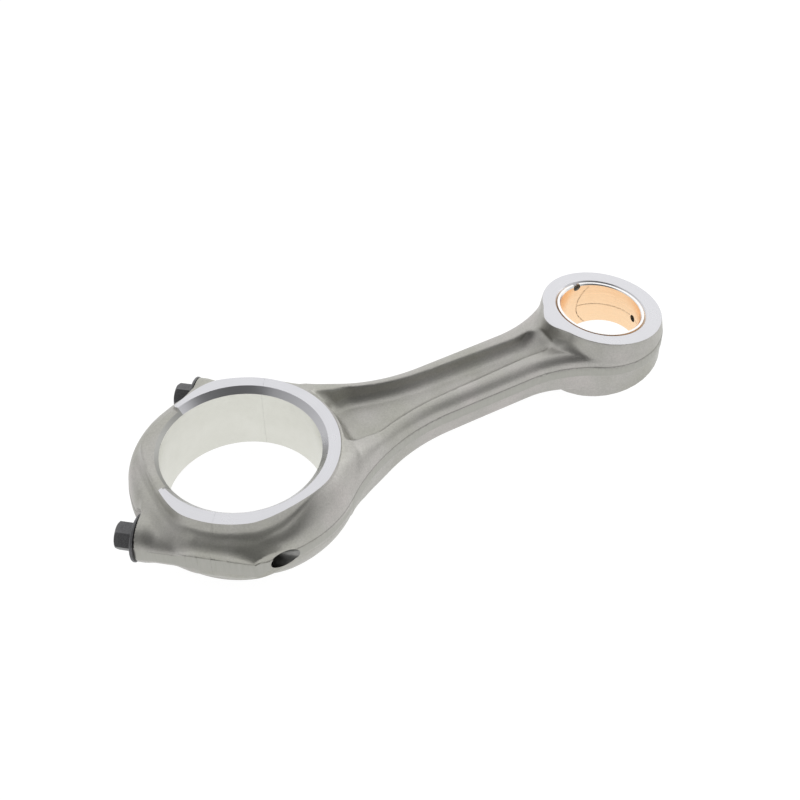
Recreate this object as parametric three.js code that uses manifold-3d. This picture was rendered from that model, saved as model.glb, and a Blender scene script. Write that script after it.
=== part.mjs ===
// Connecting rod of a heavy diesel engine, obliquely fracture-split, in millimetres.
// Built about the big-end bore: +X runs to the small end, +Z along both bores, z = 0 on the forging's
// parting plane. At the end the assembly is moved to stand on its lower big-end face, centred in plan.
// The split frame has S along the bolts, away from their heads, V across them, and Z up.

import * as THREE from "three";
import { mergeVertices } from "three/addons/utils/BufferGeometryUtils.js";
import Module from "manifold-3d";

const wasm = await Module();
wasm.setup();

// Driving dimensions.
const CENTRE_DISTANCE = 256;
const BIG_BORE_R = 47.5;
const BIG_WIDTH = 48.8;
const BIG_CHAMFER_R = 51.2;
const BIG_CHAMFER_DEPTH = 3.6;
const THRUST_R = 59;
const CROWN_R = 69.3;
const LAND_HALF = 3.5;

const SPLIT_ANGLE = -40.5;
const SPLIT_GAP = 0.3;
const BOLT_OFFSET = 57.3;
const SEAT_DISTANCE = 45;
const BOSS_FLAT = 69.3;
const BOSS_LAND_HALF = 5.7;
const CAP_BACK_RELIEF = 1.4;
const CAP_BACK_FROM = 111;
const CAP_BACK_TO = 189;

const SMALL_R = 41.3;
const SMALL_FACE_R = 38.8;
const SMALL_TAPER = 9;
const SMALL_BORE_R = 28.2;
const SMALL_CHAMFER_R = 29.8;
const PIN_BORE_R = 26;
const BUSH_GAP = 0.1;
const OIL_HOLE_R = 2.6;

const FLANK_HALF = 21;
const BIG_FILLET_R = 130;
const SMALL_FILLET_R = 80;
const WEB_HALF = 4.5;
const RIB_CREST = 14;

const BOLT_R = 6.5;
const CLEARANCE_HOLE_R = 7.1;
const THREAD_HOLE_R = 6.8;
const BOLT_REACH = 28;
const BLIND_HOLE_END = 38;
const FLANGE_R = 13.9;
const FLANGE_THICK = 3;
const HEAD_ACROSS_FLATS = 15;
const HEAD_LENGTH = 10;
const SEAT_GAP = 0.3;

// Worked-out places. CLEAR is how far a cutter runs past what it cuts.
const FACE_Z = BIG_WIDTH / 2;
const TAPER = THREE.MathUtils.degToRad(SMALL_TAPER);
const SMALL_HALF = FACE_Z - SMALL_FACE_R * Math.tan(TAPER);
const BEYOND = 60;
const CLEAR = 1;
const ROUND = 72;

const forgedSteel = new THREE.MeshStandardMaterial({ color: 0x9a9890, roughness: 0.55, metalness: 0.8 });
const blackSteel = new THREE.MeshStandardMaterial({ color: 0x2e2e30, roughness: 0.45, metalness: 0.7 });
const bronze = new THREE.MeshStandardMaterial({ color: 0xe0a878, roughness: 0.3, metalness: 0.9 });

function solid(geometry) {
  geometry.deleteAttribute("normal");
  geometry.deleteAttribute("uv");
  const merged = mergeVertices(geometry, 1e-4);
  const vertProperties = new Float32Array(merged.attributes.position.array);
  const triVerts = new Uint32Array(merged.index.array);
  return new wasm.Manifold(new wasm.Mesh({ numProp: 3, vertProperties, triVerts }));
}

function mesh(name, manifold, material) {
  const { vertProperties, triVerts } = manifold.getMesh();
  const geometry = new THREE.BufferGeometry();
  geometry.setAttribute("position", new THREE.BufferAttribute(vertProperties, 3));
  geometry.setIndex(new THREE.BufferAttribute(triVerts, 1));
  geometry.computeVertexNormals();
  const result = new THREE.Mesh(geometry, material);
  result.name = name;
  return result;
}

function union(solids) {
  return solids.reduce((sum, next) => sum.add(next));
}

// A body of revolution about Z, from (radius, z) pairs that start and end on the axis, lowest first.
function turned(profile, x = 0, segments = ROUND) {
  const points = profile.map(([radius, z]) => new THREE.Vector2(radius, z));
  const geometry = new THREE.LatheGeometry(points, segments);
  return solid(geometry.rotateX(Math.PI / 2).translate(x, 0, 0));
}

function bar(radius, fromZ, toZ, x = 0, segments = ROUND) {
  return turned([[0, fromZ], [radius, fromZ], [radius, toZ], [0, toZ]], x, segments);
}

function box(low, high) {
  const size = high.map((value, i) => value - low[i]);
  const centre = high.map((value, i) => (value + low[i]) / 2);
  return solid(new THREE.BoxGeometry(...size).translate(...centre));
}

// Turns a solid built along Z into one lying along S, at a place in the split frame.
function alongBolt(geometry, s, v) {
  geometry.rotateY(Math.PI / 2).translate(s, v, 0);
  return solid(geometry.rotateZ(THREE.MathUtils.degToRad(SPLIT_ANGLE)));
}

function boltBar(radius, fromS, toS, v, segments = 32) {
  const geometry = new THREE.CylinderGeometry(radius, radius, toS - fromS, segments);
  return alongBolt(geometry.rotateX(Math.PI / 2), (fromS + toS) / 2, v);
}

function splitBox(low, high) {
  const size = high.map((value, i) => value - low[i]);
  const centre = high.map((value, i) => (value + low[i]) / 2);
  const geometry = new THREE.BoxGeometry(...size).translate(...centre);
  return solid(geometry.rotateZ(THREE.MathUtils.degToRad(SPLIT_ANGLE)));
}

// A forged block of revolution: an upright land on the parting plane, then a quarter ellipse over to
// its top radius, mirrored below.
function forgedRound(landR, topR, topZ, x) {
  const steps = 5;
  const upper = [];
  for (let i = 0; i <= steps; i++) {
    const turn = (i / steps) * Math.PI / 2;
    const radius = topR + (landR - topR) * Math.cos(turn);
    upper.push([radius, LAND_HALF + (topZ - LAND_HALF) * Math.sin(turn)]);
  }
  const lower = upper.map(([radius, z]) => [radius, -z]).reverse();
  return turned([[0, -topZ], ...lower, ...upper, [0, topZ]], x);
}

// The shank in plan: straight flanks that flow into both ends on large fillets.
function shankOutline() {
  const bigCentreY = FLANK_HALF + BIG_FILLET_R;
  const bigCentreX = Math.sqrt((CROWN_R + BIG_FILLET_R) ** 2 - bigCentreY ** 2);
  const bigTurn = Math.atan2(bigCentreY, bigCentreX);
  const smallCentreY = FLANK_HALF + SMALL_FILLET_R;
  const smallRun = Math.sqrt((SMALL_R + SMALL_FILLET_R) ** 2 - smallCentreY ** 2);
  const smallCentreX = CENTRE_DISTANCE - smallRun;
  const smallTurn = Math.atan2(smallCentreY, smallRun);
  const bigEndHalf = CROWN_R * Math.sin(bigTurn);
  const smallEndHalf = SMALL_R * Math.sin(smallTurn);
  const shape = new THREE.Shape();
  shape.moveTo(30, -bigEndHalf);
  shape.lineTo(CROWN_R * Math.cos(bigTurn), -bigEndHalf);
  shape.absarc(bigCentreX, -bigCentreY, BIG_FILLET_R, Math.PI - bigTurn, Math.PI / 2, true);
  shape.absarc(smallCentreX, -smallCentreY, SMALL_FILLET_R, Math.PI / 2, smallTurn, true);
  shape.lineTo(CENTRE_DISTANCE - 10, -smallEndHalf);
  shape.lineTo(CENTRE_DISTANCE - 10, smallEndHalf);
  shape.absarc(smallCentreX, smallCentreY, SMALL_FILLET_R, -smallTurn, -Math.PI / 2, true);
  shape.absarc(bigCentreX, bigCentreY, BIG_FILLET_R, -Math.PI / 2, bigTurn - Math.PI, true);
  shape.lineTo(30, bigEndHalf);
  return shape;
}

// Rib height along the shank, seen from the side: it falls away from the big end and lifts at the eye.
function ribProfile() {
  const shape = new THREE.Shape();
  const heights = [
    [20, FACE_Z - 1], [60, RIB_CREST + 6], [90, RIB_CREST + 2.5],
    [130, RIB_CREST], [200, RIB_CREST - 1.5], [CENTRE_DISTANCE - 20, RIB_CREST + 1],
  ];
  const crest = new THREE.SplineCurve(heights.map(([x, z]) => new THREE.Vector2(x, z))).getPoints(9);
  shape.setFromPoints([...crest, ...crest.map((point) => new THREE.Vector2(point.x, -point.y)).reverse()]);
  return shape;
}

function shank() {
  const reach = 17;
  const rounding = 9;
  const plan = new THREE.ExtrudeGeometry(shankOutline(), {
    depth: 2 * LAND_HALF, bevelThickness: reach, bevelSize: rounding, bevelOffset: -rounding,
    bevelSegments: 3, curveSegments: 8,
  });
  const side = new THREE.ExtrudeGeometry(ribProfile(), { depth: 2 * CROWN_R, bevelEnabled: false });
  plan.translate(0, 0, -LAND_HALF);
  side.translate(0, 0, -CROWN_R).rotateX(Math.PI / 2);
  return solid(plan).intersect(solid(side));
}

// The pocket between the ribs: wide at the big end, where it follows the ring, and square at the other.
function pocketOutline() {
  const shape = new THREE.Shape();
  const ringR = THRUST_R + 2;
  const ringTurn = 0.3;
  const endX = CENTRE_DISTANCE - 47;
  const endHalf = 9.3;
  const corner = 8;
  const widths = [[69, 23.5], [80, 21.5], [100, 15.5], [120, 12.3], [160, 10]];
  const farSide = widths.map(([x, half]) => new THREE.Vector2(x, half));
  const nearSide = widths.map(([x, half]) => new THREE.Vector2(x, -half)).reverse();
  shape.absarc(0, 0, ringR, -ringTurn, ringTurn, false);
  shape.splineThru([...farSide, new THREE.Vector2(endX - corner, endHalf)]);
  shape.quadraticCurveTo(endX, endHalf, endX, endHalf - corner);
  shape.lineTo(endX, corner - endHalf);
  shape.quadraticCurveTo(endX, -endHalf, endX - corner, -endHalf);
  const start = new THREE.Vector2(ringR * Math.cos(ringTurn), -ringR * Math.sin(ringTurn));
  shape.splineThru([...nearSide, start]);
  return shape;
}

function pocket(side) {
  const foot = 4;
  const footRise = 6;
  const geometry = new THREE.ExtrudeGeometry(pocketOutline(), {
    depth: FACE_Z, bevelThickness: footRise, bevelSize: foot, bevelOffset: -foot, bevelSegments: 3,
    curveSegments: 4,
  });
  geometry.translate(0, 0, WEB_HALF + footRise);
  return side > 0 ? solid(geometry) : solid(geometry.rotateX(Math.PI));
}

// One bolt boss, on the given side of the bore: a round pad under the bolt head and a taller block
// across the split, both cut flat on the outside.
function boss(side) {
  const tall = 17.5;
  const blockFrom = -20;
  const blockTo = 44;
  const shoulderOut = BOSS_FLAT - 1.5;
  const shoulderUp = tall - 2;
  const padOverFlange = 0.4;
  const section = new THREE.Shape();
  section.moveTo(BOSS_FLAT, -BOSS_LAND_HALF);
  section.lineTo(BOSS_FLAT, BOSS_LAND_HALF);
  section.quadraticCurveTo(shoulderOut, shoulderUp, BOLT_OFFSET, tall);
  section.lineTo(BIG_BORE_R, tall);
  section.lineTo(BIG_BORE_R, -tall);
  section.lineTo(BOLT_OFFSET, -tall);
  section.quadraticCurveTo(shoulderOut, -shoulderUp, BOSS_FLAT, -BOSS_LAND_HALF);
  const bevel = 4;
  const block = new THREE.ExtrudeGeometry(section, {
    depth: blockTo - blockFrom - 2 * bevel, bevelThickness: bevel, bevelSize: bevel, bevelOffset: -bevel,
    bevelSegments: 2, curveSegments: 4,
  });
  block.rotateX(Math.PI / 2).rotateZ(Math.PI / 2).translate(blockFrom + bevel, 0, 0);
  if (side < 0) {
    block.rotateX(Math.PI);
  }
  block.rotateZ(THREE.MathUtils.degToRad(SPLIT_ANGLE));
  const pad = boltBar(FLANGE_R + padOverFlange, -SEAT_DISTANCE, blockFrom + bevel, side * BOLT_OFFSET);
  const outside = splitBox([-BEYOND, side > 0 ? BOSS_FLAT : -2 * BEYOND, -BEYOND],
    [BEYOND, side > 0 ? 2 * BEYOND : -BOSS_FLAT, BEYOND]);
  return union([solid(block), pad]).subtract(outside);
}

// Everything beyond the two tapered faces of the small end.
function taperCut(side, drop = 0) {
  const geometry = new THREE.BoxGeometry(3 * BEYOND, 3 * BEYOND, BEYOND);
  geometry.translate(0, 0, BEYOND / 2).rotateY(TAPER).translate(CENTRE_DISTANCE, 0, SMALL_HALF - drop);
  return side > 0 ? solid(geometry) : solid(geometry.rotateX(Math.PI));
}

// The eye, and the nose that the shank's ribs run up to on each side of it.
function smallEndBlank() {
  const topR = SMALL_FACE_R - 1.5;
  const topZ = FACE_Z + 4;
  const noseR = 9.5;
  const noseX = CENTRE_DISTANCE - SMALL_FACE_R + 7;
  const eye = forgedRound(SMALL_R, topR, topZ, CENTRE_DISTANCE);
  const nose = bar(noseR, -FACE_Z - CLEAR, FACE_Z + CLEAR, noseX, 32);
  return union([eye, nose]).subtract(taperCut(1)).subtract(taperCut(-1));
}

function bigBore() {
  const start = FACE_Z - BIG_CHAMFER_DEPTH;
  const out = BIG_CHAMFER_R + (BIG_CHAMFER_R - BIG_BORE_R) / BIG_CHAMFER_DEPTH * CLEAR;
  const end = FACE_Z + CLEAR;
  return turned([[0, -end], [out, -end], [BIG_BORE_R, -start], [BIG_BORE_R, start], [out, end], [0, end]]);
}

function smallBore() {
  const cone = (side) => {
    const width = SMALL_CHAMFER_R - SMALL_BORE_R;
    const geometry = new THREE.CylinderGeometry(SMALL_CHAMFER_R + CLEAR, SMALL_BORE_R - CLEAR,
      width + 2 * CLEAR, ROUND);
    geometry.rotateX(Math.PI / 2).translate(0, 0, -width / 2).rotateY(TAPER);
    geometry.translate(CENTRE_DISTANCE, 0, SMALL_HALF);
    return side > 0 ? solid(geometry) : solid(geometry.rotateX(Math.PI));
  };
  return union([bar(SMALL_BORE_R, -BEYOND, BEYOND, CENTRE_DISTANCE), cone(1), cone(-1)]);
}

// The oil hole from the tip of the small end into the pin bore.
function oilHole() {
  const length = SMALL_R + 2 * CLEAR - PIN_BORE_R / 2;
  const geometry = new THREE.CylinderGeometry(OIL_HOLE_R, OIL_HOLE_R, length, 16);
  const middleX = CENTRE_DISTANCE + SMALL_R + CLEAR - length / 2;
  return solid(geometry.rotateZ(Math.PI / 2).translate(middleX, 0, 0));
}

// The cap's back stays as forged, a little below its thrust faces.
function capRelief(side) {
  const from = THREE.MathUtils.degToRad(CAP_BACK_FROM);
  const to = THREE.MathUtils.degToRad(CAP_BACK_TO);
  const depth = CAP_BACK_RELIEF + CLEAR;
  const shape = new THREE.Shape();
  shape.absarc(0, 0, BIG_BORE_R - CLEAR, from, to, false);
  shape.absarc(0, 0, CROWN_R + CLEAR, to, from, true);
  const geometry = new THREE.ExtrudeGeometry(shape, { depth, bevelEnabled: false, curveSegments: 12 });
  geometry.translate(0, 0, side > 0 ? FACE_Z - CAP_BACK_RELIEF : -FACE_Z - CLEAR);
  return solid(geometry);
}

// The seat for the bolt's flange, the clearance hole through the cap and the threaded hole in the rod.
function boltCuts(side) {
  const v = side * BOLT_OFFSET;
  const threadEnd = side > 0 ? BLIND_HOLE_END : BEYOND;
  const seatOverFlange = 1.4;
  const clearanceEnd = 3;
  return union([
    boltBar(FLANGE_R + seatOverFlange, -2 * BEYOND, -SEAT_DISTANCE, v),
    boltBar(CLEARANCE_HOLE_R, -BEYOND, clearanceEnd, v),
    boltBar(THREAD_HOLE_R, 0, threadEnd, v),
  ]);
}

// The whole rod before machining. The bulge in the far rib's root covers the end of the blind hole.
function forging() {
  const topZ = FACE_Z + 1.6;
  const crownTopR = THRUST_R - 6;
  const crown = forgedRound(CROWN_R, crownTopR, topZ, 0);
  const exitFlat = box([-BEYOND, -2 * BEYOND, -BEYOND], [BEYOND, -CROWN_R, BEYOND]);
  const shoulders = union([boss(1), boss(-1)]).subtract(exitFlat);
  const slab = box([-2 * BEYOND, -2 * BEYOND, -FACE_Z], [CENTRE_DISTANCE + BEYOND, 2 * BEYOND, FACE_Z]);
  const blank = union([crown, shank(), smallEndBlank(), shoulders]).intersect(slab);
  const pocketed = blank.subtract(pocket(1)).subtract(pocket(-1));
  const bulgeWall = 3.5;
  const bulge = boltBar(THREAD_HOLE_R + bulgeWall, 10, BLIND_HOLE_END + bulgeWall, BOLT_OFFSET);
  return pocketed.add(bulge);
}

function machined() {
  const cuts = [bigBore(), smallBore(), oilHole(), capRelief(1), capRelief(-1), boltCuts(1), boltCuts(-1)];
  return cuts.reduce((rest, cut) => rest.subtract(cut), forging());
}

function bush() {
  const belowFace = 0.3;
  const sleeve = bar(SMALL_BORE_R - BUSH_GAP, -BEYOND, BEYOND, CENTRE_DISTANCE);
  const bored = sleeve.subtract(bar(PIN_BORE_R, -2 * BEYOND, 2 * BEYOND, CENTRE_DISTANCE));
  return bored.subtract(taperCut(1, belowFace)).subtract(taperCut(-1, belowFace)).subtract(oilHole());
}

function bolt(side) {
  const v = side * BOLT_OFFSET;
  const under = -SEAT_DISTANCE - SEAT_GAP;
  const headFrom = under - FLANGE_THICK - HEAD_LENGTH;
  const cornerR = HEAD_ACROSS_FLATS / Math.sqrt(3);
  const flangeLean = 0.8;
  const head = boltBar(cornerR, headFrom, under - FLANGE_THICK / 2, v, 6);
  const flange = new THREE.CylinderGeometry(FLANGE_R - flangeLean, FLANGE_R, FLANGE_THICK, 32);
  flange.rotateX(-Math.PI / 2);
  return union([
    head,
    alongBolt(flange, under - FLANGE_THICK / 2, v),
    boltBar(BOLT_R, under - FLANGE_THICK / 2, BOLT_REACH, v),
  ]);
}

function buildRod() {
  const whole = machined();
  const half = SPLIT_GAP / 2;
  const rodSide = splitBox([half, -3 * BEYOND, -BEYOND], [6 * BEYOND, 5 * BEYOND, BEYOND]);
  const capSide = splitBox([-3 * BEYOND, -3 * BEYOND, -BEYOND], [-half, 3 * BEYOND, BEYOND]);
  const rod = new THREE.Group();
  rod.add(mesh("rod_forging", whole.intersect(rodSide), forgedSteel));
  rod.add(mesh("rod_cap", whole.intersect(capSide), forgedSteel));
  rod.add(mesh("small_end_bush", bush(), bronze));
  rod.add(mesh("cap_bolt_near", bolt(-1), blackSteel));
  rod.add(mesh("cap_bolt_far", bolt(1), blackSteel));
  return rod;
}

const rod = buildRod();
const extent = new THREE.Box3().setFromObject(rod, true);
const middle = extent.getCenter(new THREE.Vector3());
rod.position.set(-middle.x, -middle.y, -extent.min.z);

export default rod;
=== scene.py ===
"""Looks of a fracture-split diesel connecting rod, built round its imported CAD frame.

Shapes are worked in millimetres in the rod's own frame: origin at the big-bore centre on the forging's
parting plane, +X to the small end, +Z along both bores. The split frame has S along the bolts, away
from their heads, and V across them. Finished meshes are moved into the row frame, in metres.
"""

import math

import bpy
import numpy as np
from mathutils import Matrix, Vector


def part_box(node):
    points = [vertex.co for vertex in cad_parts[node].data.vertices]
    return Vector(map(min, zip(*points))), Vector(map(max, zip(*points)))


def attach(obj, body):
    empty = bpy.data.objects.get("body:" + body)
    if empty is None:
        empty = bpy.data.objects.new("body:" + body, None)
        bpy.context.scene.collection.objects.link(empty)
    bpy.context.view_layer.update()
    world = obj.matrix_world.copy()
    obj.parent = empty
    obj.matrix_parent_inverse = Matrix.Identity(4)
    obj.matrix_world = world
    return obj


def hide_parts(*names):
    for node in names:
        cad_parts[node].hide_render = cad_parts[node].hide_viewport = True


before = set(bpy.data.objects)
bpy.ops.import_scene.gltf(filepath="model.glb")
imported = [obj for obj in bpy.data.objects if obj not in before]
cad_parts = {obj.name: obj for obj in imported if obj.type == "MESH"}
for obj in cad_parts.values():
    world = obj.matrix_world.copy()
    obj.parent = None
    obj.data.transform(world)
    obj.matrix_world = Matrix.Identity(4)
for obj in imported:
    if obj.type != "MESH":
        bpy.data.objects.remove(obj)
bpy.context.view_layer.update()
MM = 0.001

# Sizes shared with the CAD, in millimetres.
CENTRES = 256.0
BORE_R = 47.5
CHAMFER_R = 51.2
CHAMFER_DEPTH = 3.6
CROWN_R = 69.3
SPLIT = math.radians(-40.5)
BOLT_V = 57.3
SEAT_S = -45.5
FLANGE_R = 13.9
FLANGE_THICK = 3.0
HEAD_LENGTH = 10.0
HEAD_FLATS = 15.0
BOLT_TIP = 28.0
SMALL_R = 41.3
FACE_R = 38.8
TAPER = math.radians(9)
SMALL_BORE_R = 28.2
SMALL_CHAMFER_R = 29.8
PIN_R = 26.0
FLANK = 21.0
BIG_FILLET = 130.0
SMALL_FILLET = 80.0
WEB = 4.2
OIL_HOLE_R = 2.6

# The flash line in plan: where the beam starts and how far short of the eye's centre it stops, the end of
# both boss strips along S, and how much closer the cap's back is trimmed.
SHANK_FROM = 45.2
SHANK_SHORT = 22.9
STRIP_END = 44
CAP_TRIM = 2.1

# Arcs about the big bore, in degrees: start, full, still full, end.
TRIM_ARC = (92, 112, 205, 216)
RELIEF_ARC = (110, 113, 186, 189)

# The collar under each thrust face, and its flats: the direction that each one faces in degrees, its
# distance from the bore's axis, and the rounding of its edges.
RING_R = 59.2
RING_TUCK = 0.9
RING_DRAFT = math.radians(15)
RING_STOCK = 1.6
RELIEF_DEPTH = 3.0
RING_FLATS = ((115, 54.6, 7), (176, 54.4, 7), (-82, 56.9, 5))

# Pairs for graded(): a value, and how much it changes. The crown's and the ring's go from the cap to the
# rod's side, the eye's from below the parting plane to above it, and the land's to the boss strips.
CROWN_INNER = (56, -3)
CROWN_WIDE = (13.4, 3)
CROWN_HIGH = (16.5, 8.7)
CROWN_POWER = (2.6, -0.8)
BOSS_POWER = (2.1, 0.5)
EYE_LEAN = (math.tan(math.radians(1.5)), math.tan(math.radians(8.2)))
RING_FILLET = (3.2, -2.6)
BOSS_FILLET = (0.8, 3.0)
SHANK_FILLET = (0.8, 4.2)
EYE_FILLET = (0.8, 6.2)
LAND_HALF = (3.3, 1.7)

# Bolt bosses: the ranges along S in which the head's pad ends, the block fills out, and it fades away.
PAD_ENDS = (-41, -33)
BLOCK_FILLS = (-23, -10)
BLOCK_FADES = (8, 34)
BOSS_END = 40
BOSS_INNER = 56
BOSS_WIDE = 13.8
BOSS_HIGH = 12.5
PAD_LIFT = 2.0
BLOCK_LIFT = 4.0
FADE_DROP = 7.0
BOSS_REAR = 34
SEAT_STOCK = 0.6

# The beam: its flanks lean in from the land, less away from the big end, and less below than above. Below
# the parting plane its ribs are a little deeper, and more so at the neck of the small end.
BODY_FROM = 40
CREST = 12.3
ROOT_CREST = 6.1
STEEPENS = (44, 84)
ROOT_LEAN = 0.27
LOWER_LEAN = 0.052
UPPER_LEAN = 0.179
LEAN_FROM = 3.5
LOWER_DEPTH = 0.9
NECK_DEPTH = 2.5
NECK = (190, 225)
CREST_ROUND = 2.4
UPPER_ROUND = 3.2
ROOT_ROUND = 10

# The hollow between the ribs: rib widths, wall slopes, and where it starts and ends.
RIB = 8.6
ROOT_RIB = 6
MIDDLE_RIB = 0.7
RIB_GROWTH = 0.04
RIB_GROWS_FROM = 130
POCKET_LEAN = 0.4
POCKET_START_R = 61.5
POCKET_START_LEAN = 0.35
POCKET_FROM = 48
POCKET_TO = 213
POCKET_END_LEAN = 2.4

# Small features: the nose on the eye's faces, the blind hole's bulge, and the stock left for machining.
NOSE_BACK = 7
NOSE_R = 9.4
NOSE_TRIM_R = 9.6
BULGE_R = 9.8
BULGE_FROM = 8
BULGE_TO = 35
STOCK = 1.1
FLASH_STOCK = 0.5
FLASH_SLOPE = 1.4
FLASH_FOOT = 0.35

# The room in which the forging's surface is looked for.
BLANK_LOW = (-90, -86, -28.5)
BLANK_HIGH = (301, 90, 28.5)

# Bolt holes along S, the narrow and the wide radius of each thread, and a reach that goes through anything.
SEAT_CLEAR = 2.6
SEAT_REACH = -120
CLEAR_R = 7.1
CLEAR_END = 4
PITCH = 1.5
TAP = (6.62, 7.3)
BOLT_THREAD = (5.75, 6.5)
TAP_FROM = 1
TAP_END_FAR = 29.5
TAP_END_NEAR = 24.5
WAY_OUT_R = 5.9
WAY_OUT_FROM = 22
WAY_OUT_TO = 62
THROUGH = 60

# The break: the gap between the rod and the cap, its waves, and the size of the blocks that divide them.
BREAK_GAP = 0.06
BREAK_ACROSS = 100
BREAK_PAST_EYE = 240
BREAK_HALF = 32
ROD_BEYOND = 340
CAP_BEYOND = 120
GRAIN_WAVES = ((0.35, 0.07), (0.8, 0.05), (1.7, 0.03))
GRAIN_SHIFT = 0.4

# The bush: its clearance, how far its ends stay inside the eye's faces, its oil grooves and oil holes.
BUSH_GAP = 0.06
BUSH_DROP = 0.25
LEVEL_GROOVE_R = 0.42
SWEEP_GROOVE_R = 0.36
OIL_TURN = -5
OIL_WAY_R = 2.5
OIL_WAY_Z = -0.8
SCOOP_R = 2.7
SCOOP_TURN = 91
SCOOP_Z = 16.6

rod_low, rod_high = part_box("rod_forging")
bush_low, bush_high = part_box("small_end_bush")
FACE_Z = (rod_high.z - rod_low.z) / 2 / MM
ORIGIN = Vector((
    (bush_low.x + bush_high.x) / 2 - CENTRES * MM,
    (bush_low.y + bush_high.y) / 2,
    (rod_low.z + rod_high.z) / 2,
))
SMALL_HALF = FACE_Z - FACE_R * math.tan(TAPER)

# Material slots in one order on every steel mesh, so that a cut face keeps its finish.
FORGED, TURNED, HONED, SHEARED, BROKEN, DRILLED = range(6)

# The bolts' one slot, and the bush's three.
BOLT_SLOT = 0
BACK, LINING, GROOVE = range(3)

# Lays a shape that is built up Z along X.
ON_SIDE = Matrix.Rotation(math.pi / 2, 4, "Y")


# ---------------------------------------------------------------- fields

def split_frame(x, y):
    return x * math.cos(SPLIT) + y * math.sin(SPLIT), y * math.cos(SPLIT) - x * math.sin(SPLIT)


def fillet(a, b, radius):
    """Union of two fields, with a concave fillet of that radius where they meet."""
    corner = np.hypot(np.maximum(radius - a, 0), np.maximum(radius - b, 0))
    return np.maximum(np.minimum(a, b), radius) - corner


def rounded(a, b, radius):
    """Intersection of two fields, with a convex rounding of that radius."""
    corner = np.hypot(np.maximum(radius + a, 0), np.maximum(radius + b, 0))
    return np.minimum(np.maximum(a, b), -radius) + corner


def ease(value, start, end):
    t = np.clip((value - start) / (end - start), 0, 1)
    return t * t * (3 - 2 * t)


def span(value, start, full_from, full_to, end):
    """1 between the two middle values, easing to 0 at the two outer ones."""
    return ease(value, start, full_from) * (1 - ease(value, full_to, end))


def upper(z):
    """1 above the parting plane, easing to 0 below it."""
    return ease(z, -2, 2)


def graded(pair, share):
    """The pair's first value where the share is 0, changed by its second where the share is 1."""
    return pair[0] + pair[1] * share


def belly(out, z, wide, high, power):
    """Distance to a superellipse quarter: out from its inner edge, z up from the parting plane."""
    a = np.maximum(out, 0) / wide + 1e-6
    b = np.abs(z) / high + 1e-6
    level = (a ** power + b ** power) ** (1 / power)
    slope = np.hypot(a ** (power - 1) / wide, b ** (power - 1) / high) * level ** (1 - power)
    return (level - 1) / np.maximum(slope, 1e-3)


def flank_width(x):
    """Half-width of the shank on the parting plane: straight flanks flowing into both ends."""
    big_y = FLANK + BIG_FILLET
    big_x = math.sqrt((CROWN_R + BIG_FILLET) ** 2 - big_y ** 2)
    small_y = FLANK + SMALL_FILLET
    small_x = CENTRES - math.sqrt((SMALL_R + SMALL_FILLET) ** 2 - small_y ** 2)
    near_big = big_y - np.sqrt(np.maximum(BIG_FILLET ** 2 - np.minimum(x - big_x, 0) ** 2, 1))
    near_small = small_y - np.sqrt(np.maximum(SMALL_FILLET ** 2 - np.maximum(x - small_x, 0) ** 2, 1))
    return near_big + near_small - FLANK


def crest_height(x):
    """Half the height of the ribs, which rise where they leave the big end."""
    return CREST + ROOT_CREST * np.exp(-(np.maximum(x, 60) - 65) / 20)


def cap_share(x, y):
    """1 round the cap's back, where the forging is trimmed closer, easing to 0 at both bolts."""
    turn = np.degrees(np.arctan2(y, x)) % 360
    return span(turn, *TRIM_ARC)


def trim_field(x, y):
    """Distance in plan to the trimmed flash line."""
    s, v = split_frame(x, y)
    crown = np.hypot(x, y) - CROWN_R + CAP_TRIM * cap_share(x, y)
    strip = np.maximum(np.abs(v) - CROWN_R, np.maximum(s - STRIP_END, SEAT_S - s))
    big = np.maximum(np.minimum(crown, strip), -y - CROWN_R)
    ends = np.maximum(BODY_FROM - x, x - CENTRES + SHANK_SHORT)
    flank = np.maximum(np.abs(y) - flank_width(np.maximum(x, SHANK_FROM)), ends)
    eye = np.hypot(x - CENTRES, y) - SMALL_R
    return np.minimum(np.minimum(big, flank), eye)


def ring_field(x, y, z):
    """The collar under each thrust face, flattened beside both bolt heads, lower on the cap's back."""
    r = np.hypot(x, y)
    turn = np.degrees(np.arctan2(y, x)) % 360
    draft = (FACE_Z - np.abs(z)) * math.tan(RING_DRAFT)
    wall = (r - RING_R + RING_TUCK * crown_share(x, y, z) - draft) * math.cos(RING_DRAFT)
    for facing, distance, rounding in RING_FLATS:
        angle = math.radians(facing)
        flat = x * math.cos(angle) + y * math.sin(angle) - distance - draft
        wall = rounded(wall, flat, rounding)
    top = FACE_Z + RING_STOCK - RELIEF_DEPTH * span(turn, *RELIEF_ARC)
    return rounded(wall, np.abs(z) - top, 1.2)


def crown_share(x, y, z):
    """1 round the rod's side of the big end, easing to 0 round the cap and, earlier below, the near boss."""
    turn = np.degrees(np.arctan2(y, x))
    below = 1 - upper(z)
    start = -98 - 14 * below
    full_from = -62 - 22 * below
    return span(turn, start, full_from, 62, 90)


def crown_field(x, y, z):
    """The big end's shoulder: full and round on the rod's side, a lower belly round the cap."""
    r = np.hypot(x, y)
    full = crown_share(x, y, z)
    out = r - graded(CROWN_INNER, full)
    wide = graded(CROWN_WIDE, full) - CAP_TRIM * cap_share(x, y)
    return belly(out, z, wide, graded(CROWN_HIGH, full), graded(CROWN_POWER, full))


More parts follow.
